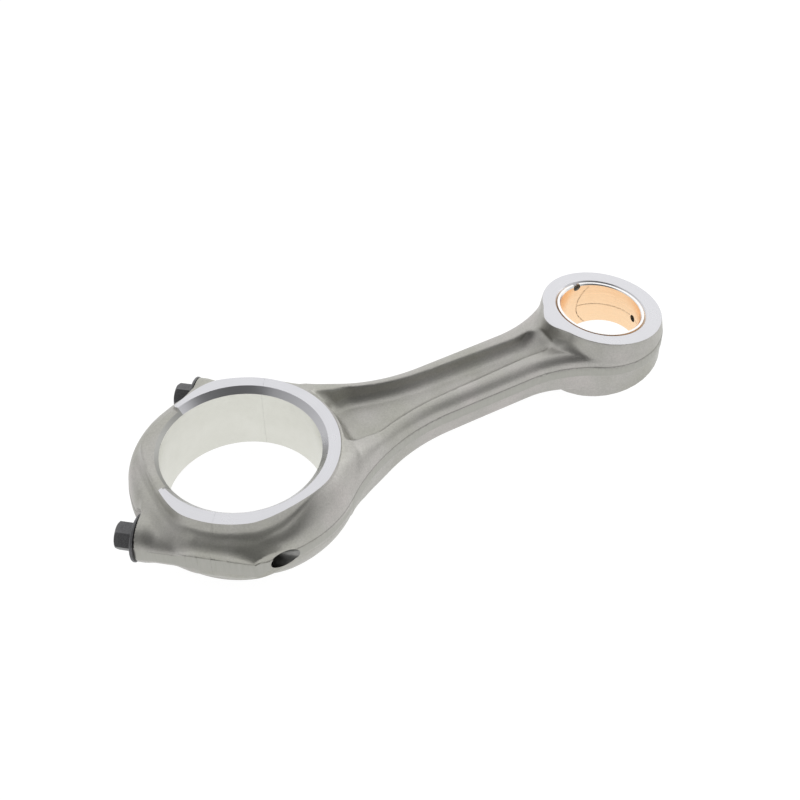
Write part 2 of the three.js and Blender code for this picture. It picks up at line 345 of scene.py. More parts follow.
def boss_field(x, y, z):
    """Both bolt bosses: a pad under the head, a slim neck, then a full block across the split."""
    s, v = split_frame(x, y)
    out = np.abs(v)
    pad = 1 - ease(s, *PAD_ENDS)
    full = ease(s, *BLOCK_FILLS)
    fade = ease(s, *BLOCK_FADES)
    high = BOSS_HIGH + PAD_LIFT * pad + BLOCK_LIFT * full - FADE_DROP * fade
    block = belly(out - BOSS_INNER, z, BOSS_WIDE, high, graded(BOSS_POWER, full))
    block = rounded(block, s - BOSS_END, 12)
    block = rounded(block, SEAT_S - SEAT_STOCK - s, 1.2)
    return rounded(block, BOSS_REAR - out, 4)


def shank_field(x, y, z):
    """The beam: leaning flanks and round crests above the parting plane, steeper and squarer below."""
    rise = np.abs(z)
    above = upper(z)
    lean = ROOT_LEAN + (LOWER_LEAN + UPPER_LEAN * above - ROOT_LEAN) * ease(x, *STEEPENS)
    wide = flank_width(np.maximum(x, SHANK_FROM))
    side = np.abs(y) - wide - (LEAN_FROM - rise) * lean
    top = rise - crest_height(x) - (LOWER_DEPTH + NECK_DEPTH * ease(x, *NECK)) * (1 - above)
    rounding = CREST_ROUND + UPPER_ROUND * above + ROOT_ROUND * (1 - ease(x, 42, 78))
    body = rounded(side, top, rounding)
    body = rounded(body, BODY_FROM - x, 1)
    return rounded(body, x - CENTRES + SHANK_SHORT, 1)


def eye_field(x, y, z):
    """The small end as forged: an upright wall, rounded over to its two tapered faces."""
    out = x - CENTRES
    rise = np.abs(z)
    lean = graded(EYE_LEAN, upper(z))
    wall = np.hypot(out, y) - SMALL_R - (LEAN_FROM - rise) * lean
    face = rise * math.cos(TAPER) + out * math.sin(TAPER) - (SMALL_HALF + STOCK) * math.cos(TAPER)
    eye = rounded(wall, face, 1.6)
    nose = rounded(np.hypot(out + FACE_R - NOSE_BACK, y) - NOSE_R, face, 2)
    return fillet(eye, nose, 7)


def pocket_field(x, y, z):
    """The hollow between the ribs, inside negative."""
    r = np.hypot(x, y)
    rise = np.abs(z)
    inner = flank_width(x) - RIB - ROOT_RIB * (1 - ease(x, 62, 84)) - MIDDLE_RIB * ease(x, 100, 140)
    inner = inner - RIB_GROWTH * np.maximum(x - RIB_GROWS_FROM, 0)
    lean = POCKET_LEAN * (rise - crest_height(x))
    side = np.abs(y) - inner - lean
    start = POCKET_START_R - r + POCKET_START_LEAN * (crest_height(x) - rise)
    end = x - POCKET_TO - POCKET_END_LEAN * np.minimum(lean, 0.4)
    plan = rounded(rounded(side, start, 10), end, 8)
    return rounded(np.maximum(plan, POCKET_FROM - x), WEB - rise, 5)


def bulge_field(x, y, z):
    """The end of the far bolt's blind hole, swelling into the pocket's corner."""
    s, v = split_frame(x, y)
    bar = rounded(np.hypot(v - BOLT_V, z) - BULGE_R, s - BULGE_TO, 6)
    return np.maximum(bar, BULGE_FROM - s)


def forging_field(x, y, z):
    full = crown_share(x, y, z)
    s, v = split_frame(x, y)
    in_from_flank = ease(flank_width(x) - np.abs(y), 2, 12)
    big = fillet(ring_field(x, y, z), crown_field(x, y, z), graded(RING_FILLET, full))
    big = fillet(big, boss_field(x, y, z), graded(BOSS_FILLET, ease(np.abs(s), 6, 28)))
    shank = fillet(big, shank_field(x, y, z), graded(SHANK_FILLET, in_from_flank))
    body = fillet(shank, eye_field(x, y, z), graded(EYE_FILLET, in_from_flank))
    body = rounded(body, -pocket_field(x, y, z), 1.0)
    body = fillet(body, bulge_field(x, y, z), 8)
    strip = (1 - ease(s, 31, 37)) * ease(np.abs(v), 64, 68)
    under_land = np.maximum(graded(LAND_HALF, strip) + FLASH_FOOT - np.abs(z), 0)
    return np.maximum(body, trim_field(x, y) + FLASH_STOCK - FLASH_SLOPE * under_land)


# ---------------------------------------------------------------- surface

def pull_to_surface(field, points, rounds):
    """Newton steps along the gradient, so that every vertex lies on the field's zero."""
    h = 0.05
    flattest = 0.05
    furthest = 0.8
    for _ in range(rounds):
        x, y, z = points.T
        value = field(x, y, z)
        slope = np.stack([
            field(x + h, y, z) - field(x - h, y, z),
            field(x, y + h, z) - field(x, y - h, z),
            field(x, y, z + h) - field(x, y, z - h),
        ], 1) / (2 * h)
        square = np.maximum((slope ** 2).sum(1), flattest)
        step = np.clip(value / square, -furthest, furthest)
        points = points - slope * step[:, None]
    return points


def surface(field, low, high, step):
    """Quads round the field's zero: one vertex in each cell that it crosses."""
    axes = [np.arange(a, b + step, step) for a, b in zip(low, high)]
    grid = np.meshgrid(*axes, indexing="ij", sparse=True)
    values = field(*grid) + np.zeros([len(a) for a in axes])
    inside = values < 0
    cells = tuple(n - 1 for n in values.shape)
    total = np.zeros(cells + (3,))
    count = np.zeros(cells)
    crossings = []
    for axis in range(3):
        here = [slice(None)] * 3
        there = [slice(None)] * 3
        here[axis] = slice(0, -1)
        there[axis] = slice(1, None)
        a, b = values[tuple(here)], values[tuple(there)]
        found = np.argwhere(inside[tuple(here)] != inside[tuple(there)])
        index = tuple(found.T)
        share = a[index] / (a[index] - b[index])
        place = np.stack([axes[i][found[:, i]] for i in range(3)], 1)
        place[:, axis] += share * step
        others = [i for i in range(3) if i != axis]
        corners = []
        for du, dv in ((1, 1), (0, 1), (0, 0), (1, 0)):
            cell = found.copy()
            cell[:, others[0]] -= du
            cell[:, others[1]] -= dv
            corners.append(cell)
            np.add.at(total, tuple(cell.T), place)
            np.add.at(count, tuple(cell.T), 1)
        flip = inside[tuple(here)][index] if axis != 1 else ~inside[tuple(here)][index]
        crossings.append((corners, flip))
    used = count > 0
    number = np.full(cells, -1)
    number[used] = np.arange(used.sum())
    points = total[used] / count[used][:, None]
    faces = []
    for corners, flip in crossings:
        quad = np.stack([number[tuple(c.T)] for c in corners], 1)
        quad[~flip] = quad[~flip][:, ::-1]
        faces.append(quad)
    return points, np.concatenate(faces)


def relax(points, quads, rounds, field):
    """Evens out the vertices along the surface, and puts them back on it."""
    edges = np.concatenate([quads[:, [i, (i + 1) % 4]] for i in range(4)])
    for _ in range(rounds):
        total = np.zeros_like(points)
        count = np.zeros(len(points))
        for a, b in ((0, 1), (1, 0)):
            np.add.at(total, edges[:, a], points[edges[:, b]])
            np.add.at(count, edges[:, a], 1)
        points = points + 0.5 * (total / count[:, None] - points)
        points = pull_to_surface(field, points, 1)
    return pull_to_surface(field, points, 2)


# ---------------------------------------------------------------- meshes

def make_mesh(name, points, faces, slot=FORGED):
    mesh = bpy.data.meshes.new(name)
    mesh.from_pydata([tuple(p) for p in points], [], [tuple(int(i) for i in f) for f in faces])
    for _ in range(DRILLED + 1):
        mesh.materials.append(None)
    mesh.polygons.foreach_set("material_index", np.full(len(mesh.polygons), slot, np.int32))
    mesh.update()
    obj = bpy.data.objects.new(name, mesh)
    bpy.context.scene.collection.objects.link(obj)
    return obj


def drop(obj):
    mesh = obj.data
    bpy.data.objects.remove(obj)
    bpy.data.meshes.remove(mesh)


def combine(a, b, operation, keep_b=False):
    """Boolean of two meshes; the result takes a's place, and faces keep their slots."""
    modifier = a.modifiers.new("cut", "BOOLEAN")
    modifier.operation = operation
    modifier.object = b
    modifier.solver = "MANIFOLD"
    modifier.material_mode = "INDEX"
    bpy.context.view_layer.update()
    result = bpy.data.meshes.new_from_object(a.evaluated_get(bpy.context.evaluated_depsgraph_get()))
    a.modifiers.clear()
    old = a.data
    a.data = result
    bpy.data.meshes.remove(old)
    if not keep_b:
        drop(b)
    return a


def lathe(name, profile, slots, segments=96, centre=(0, 0)):
    """Turns (radius, z) pairs, which start and end on the axis, about an upright axis.

    Slots are one for the whole shape, or one for each line of the profile.
    """
    if isinstance(slots, int):
        slots = [slots] * (len(profile) - 1)
    inner = profile[1:-1]
    angles = np.arange(segments) * 2 * math.pi / segments
    points = [(centre[0], centre[1], profile[0][1]), (centre[0], centre[1], profile[-1][1])]
    for radius, z in inner:
        points += [(centre[0] + radius * math.cos(t), centre[1] + radius * math.sin(t), z) for t in angles]
    faces = []
    kinds = []
    for i in range(segments):
        j = (i + 1) % segments
        faces.append((0, 2 + j, 2 + i))
        kinds.append(slots[0])
        for k in range(len(inner) - 1):
            a = 2 + k * segments
            b = a + segments
            faces.append((a + i, a + j, b + j, b + i))
            kinds.append(slots[k + 1])
        last = 2 + (len(inner) - 1) * segments
        faces.append((1, last + i, last + j))
        kinds.append(slots[-1])
    obj = make_mesh(name, points, faces)
    obj.data.polygons.foreach_set("material_index", np.array(kinds, np.int32))
    return obj


def cylinder(name, radius, low, high, slot, segments=64, centre=(0, 0)):
    profile = [(0, low), (radius, low), (radius, high), (0, high)]
    return lathe(name, profile, slot, segments, centre)


def prism(name, outline, low, high, walls, caps):
    """An upright block over an outline, with one slot for its walls and one for its two ends."""
    count = len(outline)
    points = [(x, y, low) for x, y in outline] + [(x, y, high) for x, y in outline]
    faces = [tuple(range(count))[::-1], tuple(range(count, 2 * count))]
    faces += [(i, (i + 1) % count, count + (i + 1) % count, count + i) for i in range(count)]
    obj = make_mesh(name, points, faces, walls)
    obj.data.polygons[0].material_index = caps
    obj.data.polygons[1].material_index = caps
    return obj


def move(obj, matrix):
    obj.data.transform(matrix)
    if matrix.determinant() < 0:
        obj.data.flip_normals()
    return obj


def along_bolt(obj, v):
    """Turns a mesh built up Z into one that lies along S at that V."""
    return move(obj, Matrix.Rotation(SPLIT, 4, "Z") @ Matrix.Translation((0, v, 0)) @ ON_SIDE)


def on_taper(obj, side, drop_by=0.0):
    """Moves a mesh built round Z = 0 to one of the eye's tapered faces, or that far inside it."""
    place = Matrix.Translation((CENTRES, 0, SMALL_HALF - drop_by)) @ Matrix.Rotation(TAPER, 4, "Y")
    return move(obj, Matrix.Scale(side, 4, (0, 0, 1)) @ place)


# ---------------------------------------------------------------- trimming and machining

def big_outline():
    """The trimmed flash line of the big end: the crown's circle, both boss strips and the front flat."""
    points = []
    for i in range(360):
        turn = math.radians(i)
        across = turn - SPLIT
        along = math.cos(across)
        strip = CROWN_R / max(abs(math.sin(across)), 1e-6)
        end = (-SEAT_S if along < 0 else STRIP_END) / max(abs(along), 1e-6)
        crown = CROWN_R - CAP_TRIM * float(cap_share(math.cos(turn), math.sin(turn)))
        radius = max(crown, min(strip, end))
        if math.sin(turn) < 0:
            radius = min(radius, CROWN_R / max(-math.sin(turn), 1e-6))
        points.append((radius * math.cos(turn), radius * math.sin(turn)))
    return points


def shank_outline():
    xs = np.linspace(SHANK_FROM, CENTRES - SHANK_SHORT, 70)
    wide = flank_width(xs)
    lower = [(x, -w) for x, w in zip(xs, wide)]
    return lower + [(x, -y) for x, y in lower[::-1]]


def envelope():
    """What trimming and machining leave: the shape that the forging is cut back to."""
    trim = prism("envelope", big_outline(), -FACE_Z, FACE_Z, SHEARED, TURNED)
    shank = prism("trim_shank", shank_outline(), -FACE_Z, FACE_Z, SHEARED, TURNED)
    combine(trim, shank, "UNION")
    eye = cylinder("trim_eye", SMALL_R, -FACE_Z, FACE_Z, SHEARED, 144, (CENTRES, 0))
    combine(trim, eye, "UNION")
    nose_centre = (CENTRES - FACE_R + NOSE_BACK, 0)
    nose = cylinder("trim_nose", NOSE_TRIM_R, -FACE_Z, FACE_Z, SHEARED, 48, nose_centre)
    combine(trim, nose, "UNION")
    return trim


def taper_cuts(obj, drop_by=0.0, slot=TURNED):
    reach = 90
    square = [(-reach, -reach), (reach, -reach), (reach, reach), (-reach, reach)]
    for side in (1, -1):
        slab = prism("taper", square, 0, THROUGH, slot, slot)
        combine(obj, on_taper(slab, side, drop_by), "DIFFERENCE")
    return obj


def big_bore():
    out = CHAMFER_R + (CHAMFER_R - BORE_R) / CHAMFER_DEPTH
    start = FACE_Z - CHAMFER_DEPTH
    lower = [(0, -FACE_Z - 1), (out, -FACE_Z - 1), (BORE_R, -start)]
    profile = lower + [(r, -z) for r, z in reversed(lower)]
    return lathe("big_bore", profile, [TURNED, TURNED, HONED, TURNED, TURNED], 180)


def small_chamfer(side):
    wide = SMALL_CHAMFER_R - SMALL_BORE_R
    profile = [(0, -wide - 1), (SMALL_BORE_R - 1, -wide - 1), (SMALL_CHAMFER_R + 1, 1), (0, 1)]
    return on_taper(lathe("small_chamfer", profile, TURNED, 144), side)


def threaded(name, low, high, root, crest, slot, free=0.0, segments=36):
    """A bar along Z whose surface carries a helical thread above z = free."""
    rows = int((high - low) / (PITCH / 6)) + 1
    points = []
    for k in range(rows + 1):
        z = low + (high - low) * k / rows
        for i in range(segments):
            wave = (z / PITCH - i / segments) % 1
            tooth = np.clip(1.6 - abs(wave - 0.5) * 4.2, 0, 1)
            fade = float(ease(z, free, free + 1.5))
            radius = crest - (crest - root) * tooth * fade
            t = 2 * math.pi * i / segments
            points.append((radius * math.cos(t), radius * math.sin(t), z))
    faces = []
    for k in range(rows):
        for i in range(segments):
            j = (i + 1) % segments
            a = k * segments
            faces.append((a + i, a + j, a + segments + j, a + segments + i))
    faces.append(tuple(range(segments))[::-1])
    faces.append(tuple(range(rows * segments, (rows + 1) * segments)))
    return make_mesh(name, points, faces, slot)


def bolt_cuts(obj, side):
    """Seat, clearance hole and thread for one bolt; the near bolt's hole comes out on the far side."""
    v = side * BOLT_V
    wall = FLANGE_R + SEAT_CLEAR
    profile = [(0, SEAT_REACH), (wall, SEAT_REACH), (wall, SEAT_S), (0, SEAT_S)]
    seat = lathe("seat", profile, [TURNED, FORGED, TURNED], 96)
    combine(obj, along_bolt(seat, v), "DIFFERENCE")
    clear = cylinder("clear", CLEAR_R, -THROUGH, CLEAR_END, DRILLED, 48)
    combine(obj, along_bolt(clear, v), "DIFFERENCE")
    tap = threaded("tap", TAP_FROM, TAP_END_FAR if side > 0 else TAP_END_NEAR, *TAP, DRILLED)
    combine(obj, along_bolt(tap, v), "DIFFERENCE")
    if side < 0:
        way_out = cylinder("way_out", WAY_OUT_R, WAY_OUT_FROM, WAY_OUT_TO, DRILLED, 64)
        combine(obj, along_bolt(way_out, v), "DIFFERENCE")


def oil_hole():
    """Through the small end's tip, into the bush."""
    start, length = 18, 30
    hole = cylinder("oil_hole", OIL_HOLE_R, 0, length, DRILLED, 32)
    return move(hole, Matrix.Translation((CENTRES + start, 0, 0)) @ ON_SIDE)


def machine(obj):
    taper_cuts(obj)
    combine(obj, big_bore(), "DIFFERENCE")
    bore = cylinder("small_bore", SMALL_BORE_R, -THROUGH, THROUGH, HONED, 144, (CENTRES, 0))
    combine(obj, bore, "DIFFERENCE")
    for side in (1, -1):
        combine(obj, small_chamfer(side), "DIFFERENCE")
        bolt_cuts(obj, side)
    combine(obj, oil_hole(), "DIFFERENCE")
    return obj


# ---------------------------------------------------------------- the break

def grain(v, z):
    """Height of the fracture over the split plane: broad waves, then crystal-sized steps."""
    height = 0.18 * np.sin(v * 0.11 + 0.6) * np.cos(z * 0.13)
    for k, (size, lift) in enumerate(GRAIN_WAVES):
        across = np.sin(v * size + 3.1 * k + GRAIN_SHIFT)
        height = height + lift * across * np.sin(z * size * 1.3 + 1.7 * k)
    return height


def half_space(side):
    """Everything on one side of the broken surface, as a closed block in the rod frame."""
    step = 1.0
    vs = np.append(np.arange(-BREAK_ACROSS, BREAK_ACROSS + step, step), BREAK_PAST_EYE)
    zs = np.arange(-BREAK_HALF, BREAK_HALF + step, step)
    vv, zz = np.meshgrid(vs, zs, indexing="ij")
    ss = grain(vv, zz) + side * BREAK_GAP / 2
    front = np.stack([ss.ravel(), vv.ravel(), zz.ravel()], 1)
    back = front.copy()
    back[:, 0] = ROD_BEYOND if side > 0 else -CAP_BEYOND
    nz = len(zs)
    faces = []
    for i in range(len(vs) - 1):
        for j in range(nz - 1):
            a = i * nz + j
            faces.append((a, a + nz, a + nz + 1, a + 1))
    rim = [i * nz for i in range(len(vs))]
    rim += [(len(vs) - 1) * nz + j for j in range(1, nz)]
    rim += [i * nz + nz - 1 for i in range(len(vs) - 2, -1, -1)]
    rim += [j for j in range(nz - 2, 0, -1)]
    points = [tuple(p) for p in front] + [tuple(back[i]) for i in rim]
    base = len(front)
    count = len(rim)
    for i in range(count):
        j = (i + 1) % count
        faces.append((rim[j], rim[i], base + i, base + j))
    faces.append(tuple(base + i for i in range(count))[::-1])
    if side > 0:
        faces = [f[::-1] for f in faces]
    obj = make_mesh("half", points, faces, BROKEN)
    return move(obj, Matrix.Rotation(SPLIT, 4, "Z"))


def copy_of(obj, name):
    twin = bpy.data.objects.new(name, obj.data.copy())
    bpy.context.scene.collection.objects.link(twin)
    return twin


def finish_mesh(obj, angle=32):
    """Into the row frame, in metres, shaded smooth but for real edges."""
    move(obj, Matrix.Translation(ORIGIN) @ Matrix.Scale(MM, 4))
    obj.data.shade_smooth()
    obj.data.set_sharp_from_angle(angle=math.radians(angle))
    return obj


def build_forgings():
    step = 1.0
    points, quads = surface(forging_field, BLANK_LOW, BLANK_HIGH, step)
    points = pull_to_surface(forging_field, points, 3)
    points = relax(points, quads, 2, forging_field)
    blank = make_mesh("blank", points, quads)
    cut = machine(envelope())
    cap_blank = copy_of(blank, "connecting_rod_cap")
    cap_cut = copy_of(cut, "cap_cut")
    combine(cut, half_space(1), "INTERSECT")
    combine(cap_cut, half_space(-1), "INTERSECT")
    rod = combine(blank, cut, "INTERSECT")
    cap = combine(cap_blank, cap_cut, "INTERSECT")
    rod.name = "connecting_rod_forging"
    return finish_mesh(rod), finish_mesh(cap)


# ---------------------------------------------------------------- bolts and bush

def build_bolt(side):
    """A flanged bolt, built up Z from its head to its tip; the two heads stand at angles of their own."""
    name = "cap_bolt_" + ("far" if side > 0 else "near") + "_turned"
    under = SEAT_S - 0.05
    top = under - FLANGE_THICK
    end = top - HEAD_LENGTH
    corner = HEAD_FLATS / math.sqrt(3)
    phase = 12 if side > 0 else 29
    turns = [math.radians(60 * i + phase) for i in range(6)]
    outline = [(corner * math.cos(turn), corner * math.sin(turn)) for turn in turns]
    head = prism(name, outline, end, top + 1.5, BOLT_SLOT, BOLT_SLOT)
    rim = corner + 0.15
    profile = [(0, end), (6.9, end), (7.5, end + 0.2), (rim, end + 1.35), (rim, top + 2), (0, top + 2)]
    combine(head, lathe("crown", profile, BOLT_SLOT, 72), "INTERSECT")
    profile = [(0, end - 1), (5.2, end - 1), (5.0, end + 0.2), (4.4, end + 1.0), (0, end + 1.3)]
    combine(head, lathe("dish", profile, BOLT_SLOT, 64), "DIFFERENCE")
    profile = [(0, top - 0.4), (8.4, top - 0.4), (9.8, top + 0.3), (13.0, top + 1.1)]
    profile += [(FLANGE_R - 0.25, top + 1.5), (FLANGE_R, top + 1.9)]
    profile += [(FLANGE_R, under - 0.35), (FLANGE_R - 0.35, under), (0, under)]
    combine(head, lathe("flange", profile, BOLT_SLOT, 96), "UNION")
    thread_from = -6
    shank = threaded("shank", under - 1, BOLT_TIP, *BOLT_THREAD, BOLT_SLOT, thread_from)
    profile = [(0, under - 2), (7.2, under - 2), (7.2, BOLT_TIP - 1.6), (5.2, BOLT_TIP), (0, BOLT_TIP)]
    combine(shank, lathe("tip", profile, BOLT_SLOT, 64), "INTERSECT")
    profile = [(0, under - 1), (7.0, under - 1), (7.0, under + 1.0)]
    profile += [(6.5, under + 2.2), (6.3, under + 2.4), (0, under + 2.4)]
    combine(shank, lathe("neck", profile, BOLT_SLOT, 64), "UNION")
    combine(head, shank, "UNION")
    along_bolt(head, side * BOLT_V)
    return finish_mesh(head, 28)


def groove(name, path, radius):
    """A round-bottomed cutter that follows (turn, z) pairs along the pin bore."""
    rings = []
    for turn, z in path:
        t = math.radians(turn)
        rings.append(Vector((PIN_R * math.cos(t), PIN_R * math.sin(t), z)))
    points = []
    sides = 8
    for i, place in enumerate(rings):
        ahead = (rings[min(i + 1, len(rings) - 1)] - rings[max(i - 1, 0)]).normalized()
        out = Vector((place.x, place.y, 0)).normalized()
        across = ahead.cross(out).normalized()
        for k in range(sides):
            t = 2 * math.pi * k / sides
            points.append(place + radius * (math.cos(t) * out + math.sin(t) * across))
    faces = []
    for i in range(len(rings) - 1):
        for k in range(sides):
            j = (k + 1) % sides
            a = i * sides
            faces.append((a + k, a + sides + k, a + sides + j, a + j))
    faces.append(tuple(range(sides)))
    faces.append(tuple(range((len(rings) - 1) * sides, len(rings) * sides))[::-1])
    obj = make_mesh(name, points, faces, GROOVE)
    return move(obj, Matrix.Translation((CENTRES, 0, 0)))


def radial_bar(name, radius, turn, z):
    """A bar from inside the bush to outside it, turned that many degrees from +X."""
    bar = cylinder(name, radius, 20, 32, GROOVE, 32)
    spin = Matrix.Rotation(math.radians(turn), 4, "Z") @ ON_SIDE
    return move(bar, Matrix.Translation((CENTRES, 0, z)) @ spin)


def build_bush():
    """Steel back with a bronze lining: one wrapped strip, grooved for oil."""
    outer = SMALL_BORE_R - BUSH_GAP
    profile = [(0, -40), (outer, -40), (outer, 40), (0, 40)]
    ring = lathe("small_end_bush_bored", profile, [BACK, LINING, BACK], 180, (CENTRES, 0))
    taper_cuts(ring, BUSH_DROP, BACK)
    bore = cylinder("bore", PIN_R, -THROUGH, THROUGH, LINING, 180, (CENTRES, 0))
    combine(ring, bore, "DIFFERENCE")
    for side in (1, -1):
        profile = [(0, -2.6), (PIN_R - 1.4, -2.6), (PIN_R + 1.0, 0.3), (0, 0.3)]
        lead = lathe("lead", profile, BACK, 144)
        combine(ring, on_taper(lead, side, BUSH_DROP), "DIFFERENCE")
    # On each side of the oil hole, one groove runs level round the bore, and one sweeps from rim to rim.
    for start, sign in ((0, 1), (2 * OIL_TURN, -1)):
        level = [(start + sign * (88 - 2.0 * i), -0.6 * math.sin(i / 13)) for i in range(44)]
        heights = np.linspace(-15.5, 14.5, 25)
        sweep = [(start + sign * (89 - 21 * ((z + 1) / 17) ** 2), z) for z in heights]
        combine(ring, groove("level", level, LEVEL_GROOVE_R), "DIFFERENCE")
        combine(ring, groove("sweep", sweep, SWEEP_GROOVE_R), "DIFFERENCE")
    combine(ring, radial_bar("oil_way", OIL_WAY_R, OIL_TURN, OIL_WAY_Z), "DIFFERENCE")
    combine(ring, radial_bar("oil_scoop", SCOOP_R, SCOOP_TURN, SCOOP_Z), "DIFFERENCE")
    return finish_mesh(ring, 30)


# ---------------------------------------------------------------- materials

class Nodes:
    """A short way to wire a node tree."""

    def __init__(self, name):
        self.material = bpy.data.materials.new(name)
        self.material.use_nodes = True
        self.tree = self.material.node_tree
        self.tree.nodes.clear()
        self.out = self.tree.nodes.new("ShaderNodeOutputMaterial")
        self.place = self.add("ShaderNodeTexCoord").outputs["Object"]

    def feed(self, socket, value):
        """Links a node's output to the socket, or sets the socket to a plain value."""
        if hasattr(value, "is_output"):
            self.tree.links.new(value, socket)
        elif socket.type == "RGBA" and isinstance(value, tuple):
            socket.default_value = value + (1,)
        else:
            socket.default_value = value

    def add(self, kind, **values):
        """A node, with its inputs and settings given by name; Base_Color stands for Base Color."""
        node = self.tree.nodes.new(kind)
        for key, value in values.items():
            if key.replace("_", " ") in node.inputs:
                self.feed(node.inputs[key.replace("_", " ")], value)
            else:
                setattr(node, key, value)
        return node

    def noise(self, scale, detail=4.0, rough=0.55, place=None):
        place = self.place if place is None else place
        node = self.add("ShaderNodeTexNoise", Vector=place, Scale=scale, Detail=detail, Roughness=rough)
        return node.outputs["Fac"]

    def ramp(self, value, stops):
        node = self.add("ShaderNodeValToRGB", Fac=value)
        ramp = node.color_ramp
        while len(ramp.elements) < len(stops):
            ramp.elements.new(0.5)
        for element, (place, shade) in zip(ramp.elements, stops):
            element.position = place
            colour = shade if isinstance(shade, tuple) else (shade,) * 3
            element.color = colour + (1,)
        return node.outputs["Color"]

    def maths(self, operation, a, b=0.0):
        node = self.add("ShaderNodeMath", operation=operation)
        self.feed(node.inputs[0], a)
        self.feed(node.inputs[1], b)
        return node.outputs[0]

    def mix(self, share, a, b, blend="MIX"):
        node = self.add("ShaderNodeMix", data_type="RGBA", blend_type=blend)
        for socket, value in ((0, share), (6, a), (7, b)):
            self.feed(node.inputs[socket], value)
        return node.outputs[2]

    def spread(self, scale):
        """The object's coordinates, stretched by that much along each axis."""
        return self.add("ShaderNodeMapping", Vector=self.place, Scale=scale).outputs["Vector"]

    def vector(self, operation, a, b=(0, 0, 0)):
        node = self.add("ShaderNodeVectorMath", operation=operation)
        self.feed(node.inputs[0], a)
        self.feed(node.inputs[1], b)
        return node

    def from_axis(self, x, y):
        """Distance from an upright axis, in metres."""
        offset = self.vector("SUBTRACT", self.place, (x, y, 0)).outputs[0]
        flat = self.vector("MULTIPLY", offset, (1, 1, 0)).outputs[0]
        return self.vector("LENGTH", flat).outputs["Value"]

    def sector(self, x, y, middle, half, reach):
        """1 inside a sector about an upright axis: its middle and half angle in degrees, and its reach."""
        r = self.from_axis(x, y)
        place = self.add("ShaderNodeSeparateXYZ", Vector=self.place)
        turn = math.radians(middle)
        along_x = self.maths("MULTIPLY", self.maths("SUBTRACT", place.outputs["X"], x), math.cos(turn))
        along_y = self.maths("MULTIPLY", self.maths("SUBTRACT", place.outputs["Y"], y), math.sin(turn))
        along = self.maths("ADD", along_x, along_y)
        edge = self.maths("MULTIPLY", r, math.cos(math.radians(half)))
        inside = self.maths("GREATER_THAN", along, edge)
        return self.maths("MULTIPLY", inside, self.maths("LESS_THAN", r, reach))

    def bump(self, height, strength, distance, below=None):
        node = self.add("ShaderNodeBump", Height=height, Strength=strength, Distance=distance)
        if below is not None:
            self.feed(node.inputs["Normal"], below)
        return node.outputs["Normal"]

    def finish(self, shader):
        self.feed(self.out.inputs["Surface"], shader.outputs[0])
        return self.material

    def metal(self, colour, rough, normal, metallic=1.0):
        looks = {"Base_Color": colour, "Roughness": rough, "Normal": normal, "Metallic": metallic}
        return self.finish(self.add("ShaderNodeBsdfPrincipled", **looks))


def painted_dark_reflection_line(m):
    """A painted dark reflection: a thin dark line on the upright walls just above the trimmed flash line, in
    place of the dark band that this edge reflects; its strength there, and 0 elsewhere.
    """
    line_height = 0.0041
    waviness = 0.0006
    sharpness = 2200
    strength = 0.6
    height = m.add("ShaderNodeSeparateXYZ", Vector=m.place).outputs["Z"]
    wobble = m.maths("MULTIPLY", m.noise(150, 3), waviness)
    above = m.maths("SUBTRACT", m.maths("ADD", height, wobble), ORIGIN.z + line_height)
    nearness = m.maths("SUBTRACT", 1.0, m.maths("MULTIPLY", m.maths("ABSOLUTE", above), sharpness))
    normal = m.add("ShaderNodeNewGeometry").outputs["Normal"]
    upright = m.maths("ABSOLUTE", m.add("ShaderNodeSeparateXYZ", Vector=normal).outputs["Z"])
    wall = m.maths("LESS_THAN", upright, 0.5)
    line = m.maths("MULTIPLY", m.maths("MAXIMUM", nearness, 0.0), wall)
    return m.maths("MULTIPLY", line, strength)


def forged_steel():
    """Shot-blasted forging skin: fine grain, shallow pits, broad warm and green stains, and a painted dark
    reflection along the top of the flash line.
    """
    m = Nodes("forged_steel_skin")
    green, grey, warm = (0.42, 0.416, 0.375), (0.465, 0.455, 0.43), (0.51, 0.485, 0.468)
    reflection_dark = (0.16, 0.155, 0.14)
    stain = m.ramp(m.noise(22, 3), [(0.35, green), (0.55, grey), (0.72, warm)])
    fine = m.ramp(m.noise(900, 5, 0.7), [(0.3, 0.86), (0.7, 1.08)])
    # The skin's colour, with the painted dark reflection laid along the top of the flash line.
    colour = m.mix(painted_dark_reflection_line(m), m.mix(1.0, stain, fine, "MULTIPLY"), reflection_dark)
    rough = m.ramp(m.noise(60, 4), [(0.3, 0.35), (0.7, 0.46)])
    grain_normal = m.bump(m.noise(1500, 6, 0.7), 0.35, 0.0003)
    pits = m.ramp(m.noise(260, 2, 0.5), [(0.24, 0.0), (0.33, 1.0)])
    normal = m.bump(pits, 0.25, 0.0002, grain_normal)
    return m.metal(colour, rough, normal, 0.85)


def turned_steel():
    """Bright turned faces, with fine rings round their own bore; near the bore on the cap's relieved back,
    rougher and with a darker tint that is painted shade.
    """
    m = Nodes("turned_steel_face")
    big = m.from_axis(ORIGIN.x, ORIGIN.y)
    small = m.from_axis(ORIGIN.x + CENTRES * MM, ORIGIN.y)
    near = m.maths("MINIMUM", big, small)
    rings = m.add("ShaderNodeCombineXYZ", X=near)
    lines = m.noise(2600, 3, 0.6, rings.outputs[0])
    tint = m.ramp(lines, [(0.3, (0.575, 0.575, 0.60)), (0.7, (0.66, 0.66, 0.685))])
    rough = m.ramp(m.noise(40, 3), [(0.35, 0.27), (0.7, 0.36)])
    # Near the bore on the cap's back: a higher roughness, and a darker tint that is painted shade.
    dull_and_shaded_sector = m.sector(ORIGIN.x, ORIGIN.y, middle=150, half=39, reach=0.0525)
    tint = m.mix(dull_and_shaded_sector, tint, (0.40, 0.40, 0.385))
    rough = m.mix(dull_and_shaded_sector, rough, (0.5, 0.5, 0.5))
    normal = m.bump(lines, 0.08, 0.00008)
    return m.metal(tint, rough, normal)


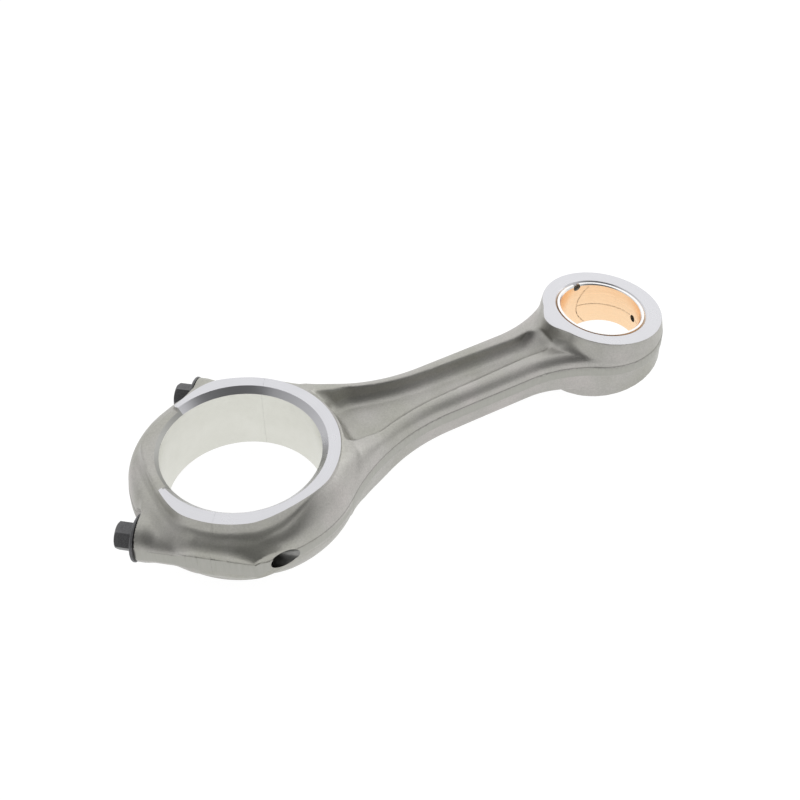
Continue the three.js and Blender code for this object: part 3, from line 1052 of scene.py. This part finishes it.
def honed_steel():
    """The two bores: pale, with a soft cross-hatch."""
    m = Nodes("honed_steel_bore")
    one = m.noise(1.0, 3, 0.6, m.spread((240, 240, 900)))
    cloud = m.noise(55, 3, 0.5)
    tint = m.mix(cloud, (0.66, 0.66, 0.60), (0.75, 0.75, 0.70))
    rough = m.ramp(one, [(0.3, 0.3), (0.7, 0.42)])
    normal = m.bump(one, 0.08, 0.00006)
    return m.metal(tint, rough, normal)


def sheared_steel():
    """The trimmed flash line: torn straight down, about as bright as the skin beside it."""
    m = Nodes("sheared_steel_land")
    tears = m.noise(1.0, 4, 0.65, m.spread((700, 700, 60)))
    tint = m.ramp(tears, [(0.3, (0.39, 0.39, 0.355)), (0.7, (0.455, 0.45, 0.42))])
    rough = m.ramp(tears, [(0.3, 0.42), (0.7, 0.54)])
    normal = m.bump(tears, 0.2, 0.0002)
    return m.metal(tint, rough, normal, 0.9)


def broken_steel():
    """The fracture faces: bright crystal grain."""
    m = Nodes("broken_steel_grain")
    cells = m.add("ShaderNodeTexVoronoi", Vector=m.place, Scale=1700).outputs["Distance"]
    tint = m.ramp(cells, [(0.1, (0.40, 0.40, 0.41)), (0.6, (0.62, 0.62, 0.64))])
    normal = m.bump(cells, 0.7, 0.0004)
    return m.metal(tint, 0.42, normal)


def drilled_steel():
    m = Nodes("drilled_hole_painted_shade")
    swirl = m.noise(500, 3)
    # A dark tint: painted shade inside the drilled and tapped holes, with a faint swirl.
    tint = m.ramp(swirl, [(0.3, (0.216, 0.216, 0.21)), (0.7, (0.3, 0.3, 0.288))])
    return m.metal(tint, 0.35, m.bump(swirl, 0.2, 0.0001))


def phosphate():
    """Bolts: black manganese phosphate with a film of oil, rubbed on its edges."""
    m = Nodes("black_phosphate_steel")
    grit = m.noise(1400, 5, 0.65)
    tint = m.ramp(grit, [(0.3, (0.07, 0.07, 0.073)), (0.7, (0.15, 0.15, 0.155))])
    edge = m.add("ShaderNodeNewGeometry").outputs["Pointiness"]
    worn = m.ramp(edge, [(0.52, 0.0), (0.6, 1.0)])
    tint = m.mix(m.maths("MULTIPLY", worn, 0.5), tint, (0.2, 0.2, 0.21))
    rough = m.ramp(m.noise(90, 3), [(0.3, 0.34), (0.7, 0.5)])
    return m.metal(tint, rough, m.bump(grit, 0.3, 0.00015), 0.55)


def bush_steel():
    m = Nodes("bush_steel_back")
    lines = m.noise(1.0, 3, 0.6, m.spread((900, 900, 900)))
    tint = m.ramp(lines, [(0.3, (0.80, 0.80, 0.80)), (0.7, (0.88, 0.88, 0.88))])
    return m.metal(tint, 0.24, m.bump(lines, 0.06, 0.00005))


def bronze():
    """The lining: fine-bored bronze with rings up the bore and paler clouds."""
    m = Nodes("bush_bronze_lining")
    rings = m.noise(1.0, 2, 0.5, m.spread((20, 20, 2600)))
    cloud = m.noise(60, 3)
    tint = m.mix(cloud, (0.95, 0.66, 0.41), (0.99, 0.75, 0.50))
    rough = m.ramp(rings, [(0.3, 0.26), (0.7, 0.36)])
    return m.metal(tint, rough, m.bump(rings, 0.06, 0.00005))


def groove_shade():
    m = Nodes("bush_groove_painted_shade")
    groove_mottle = m.noise(300, 3)
    # A dark grey tint: painted shade inside the oil grooves, mottled by noise.
    tint = m.ramp(groove_mottle, [(0.3, (0.30, 0.29, 0.27)), (0.7, (0.42, 0.41, 0.38))])
    return m.metal(tint, 0.5, m.bump(groove_mottle, 0.2, 0.0001))


def paint(obj, materials):
    """Fills the slots in order, then drops the slots that no face uses."""
    slots = np.zeros(len(obj.data.polygons), np.int32)
    obj.data.polygons.foreach_get("material_index", slots)
    slots = np.minimum(slots, len(materials) - 1)
    kept = sorted(set(slots.tolist()))
    renumber = {old: new for new, old in enumerate(kept)}
    obj.data.materials.clear()
    for old in kept:
        obj.data.materials.append(materials[old])
    fresh = np.array([renumber[i] for i in slots.tolist()], np.int32)
    obj.data.polygons.foreach_set("material_index", fresh)


# ---------------------------------------------------------------- assembly

def build():
    steels = [forged_steel(), turned_steel(), honed_steel()]
    steels += [sheared_steel(), broken_steel(), drilled_steel()]
    black = [phosphate()]
    bushing = [bush_steel(), bronze(), groove_shade()]
    rod, cap = build_forgings()
    near, far = build_bolt(-1), build_bolt(1)
    bush = build_bush()
    jobs = (
        (rod, "rod", "rod_forging", "forged_steel", steels),
        (cap, "cap", "rod_cap", "forged_steel", steels),
        (near, "bolt_near", "cap_bolt_near", "black_steel", black),
        (far, "bolt_far", "cap_bolt_far", "black_steel", black),
        (bush, "rod", "small_end_bush", "bearing_bronze", bushing),
    )
    for obj, body, node, slot, materials in jobs:
        paint(obj, materials)
        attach(obj, body)
        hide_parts(node)


def toward(azimuth, elevation):
    a, e = math.radians(azimuth), math.radians(elevation)
    return math.cos(a) * math.cos(e), math.sin(a) * math.cos(e), math.sin(e)


def soft_sky():
    """Light all round: bright behind and to the right, falling off to the side that faces the viewer."""
    world = bpy.data.worlds.new("studio")
    bpy.context.scene.world = world
    world.use_nodes = True
    tree = world.node_tree
    direction = tree.nodes.new("ShaderNodeTexCoord").outputs["Generated"]

    def share(aim, start, end, low, high):
        dot = tree.nodes.new("ShaderNodeVectorMath")
        dot.operation = "DOT_PRODUCT"
        dot.inputs[1].default_value = aim
        tree.links.new(direction, dot.inputs[0])
        spread = tree.nodes.new("ShaderNodeMapRange")
        spread.interpolation_type = "SMOOTHSTEP" if end < 1 else "LINEAR"
        for key, value in (("From Min", start), ("From Max", end), ("To Min", low), ("To Max", high)):
            spread.inputs[key].default_value = value
        tree.links.new(dot.outputs["Value"], spread.inputs["Value"])
        return spread.outputs[0]

    bright_side, dim_patch = toward(50, 28), toward(256, 47)
    patch_edge, patch_inside = math.cos(math.radians(38)), math.cos(math.radians(35))
    broad = share(bright_side, start=-1, end=1, low=0.06, high=1.22)
    dim = share(dim_patch, start=patch_edge, end=patch_inside, low=1.0, high=0.26)
    product = tree.nodes.new("ShaderNodeMath")
    product.operation = "MULTIPLY"
    tree.links.new(broad, product.inputs[0])
    tree.links.new(dim, product.inputs[1])
    tree.links.new(product.outputs[0], tree.nodes["Background"].inputs["Strength"])
    tree.nodes["Background"].inputs["Color"].default_value = (1, 1, 1, 1)


def stage():
    """A plain pale floor, wide enough to fill the view."""
    m = Nodes("studio_floor")
    soft = m.noise(3, 2)
    tint = m.mix(soft, (0.13, 0.13, 0.13), (0.15, 0.15, 0.15))
    matt = {"Base_Color": tint, "Roughness": 0.9, "Specular_IOR_Level": 0.0}
    glow = {"Emission_Color": (1, 1, 1), "Emission_Strength": 0.96}
    size = 6.0
    corners = [(-size, -size, 0), (size, -size, 0), (size, size, 0), (-size, size, 0)]
    mesh = bpy.data.meshes.new("floor")
    mesh.from_pydata(corners, [], [(0, 1, 2, 3)])
    mesh.materials.append(m.finish(m.add("ShaderNodeBsdfPrincipled", **matt, **glow)))
    floor = bpy.data.objects.new("floor", mesh)
    floor.location.z = -0.0002
    bpy.context.scene.collection.objects.link(floor)


def lamp(name, place, aim, size, power):
    light = bpy.data.lights.new(name, "AREA")
    light.shape = "RECTANGLE"
    light.size, light.size_y = size
    light.energy = power
    obj = bpy.data.objects.new(name, light)
    obj.location = place
    obj.rotation_euler = (Vector(aim) - Vector(place)).to_track_quat("-Z", "Y").to_euler()
    bpy.context.scene.collection.objects.link(obj)
    return obj


def camera():
    """At the photograph's angle: 29 degrees to the big end's side, 44 degrees up."""
    azimuth = math.radians(-29.3275)
    elevation = math.radians(44.4553)
    roll = math.radians(-0.7914)
    distance = 0.88611
    target = ORIGIN + Vector((0.1111, 0.00818, 0))
    level = math.cos(elevation)
    back = Vector((math.sin(azimuth) * level, -math.cos(azimuth) * level, math.sin(elevation)))
    right = Vector((math.cos(azimuth), math.sin(azimuth), 0))
    up = back.cross(right)
    c, s = math.cos(roll), math.sin(roll)
    axes = Matrix((c * right + s * up, c * up - s * right, back)).transposed()
    data = bpy.data.cameras.new("photo_camera")
    data.sensor_width = 36
    data.lens = 64.133
    data.clip_start = 0.01
    data.clip_end = 50
    obj = bpy.data.objects.new("photo_camera", data)
    obj.matrix_world = Matrix.Translation(target + back * distance) @ axes.to_4x4()
    bpy.context.scene.collection.objects.link(obj)
    bpy.context.scene.camera = obj
    bpy.context.scene.view_settings.view_transform = "Standard"


camera()
stage()
soft_sky()
lamp("side_light", place=(1.5, 0.1, 0.5), aim=(0, 0, 0), size=(0.9, 0.7), power=2)
build()
